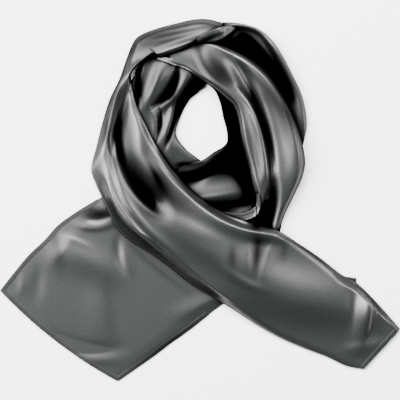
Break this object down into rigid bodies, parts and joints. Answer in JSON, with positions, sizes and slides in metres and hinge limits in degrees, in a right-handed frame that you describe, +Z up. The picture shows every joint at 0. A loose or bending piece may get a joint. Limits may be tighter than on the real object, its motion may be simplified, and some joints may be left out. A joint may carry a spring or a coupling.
{
  "type": "evening stole",
  "caption": "Long narrow satin stole dropped in two loose turns, its hemmed tails spread out to either side and an open ring in the middle.",
  "frame": {"origin": "centre of the stole's bounding box at the level it rests on", "axes": "+X from the left tail to the right tail, +Y up the lay away from the tails, +Z up out of the surface"},
  "size_m": [0.538, 0.488, 0.0365],
  "materials": {
    "satin": "glossy charcoal satin",
    "hem": "turned and stitched satin hem",
    "satin_inside": "glossy charcoal satin in shade"
  },
  "bodies": {
    "root": {"left_tail": "satin", "right_side": "satin", "side_lip": "satin", "front_stretch": "satin", "top_band": "satin", "turned_edge": "satin", "right_rim": "satin", "left_tail_end_hem": "hem", "left_tail_upper_hem": "hem", "left_tail_lower_hem": "hem", "right_tail_end_hem": "hem", "right_tail_side_hem": "hem", "front_edge_hem": "hem", "left_inside": "satin_inside", "lower_inside": "satin_inside", "right_tail_under": "satin_inside", "hidden_turns": "satin_inside"}
  },
  "joints": []
}
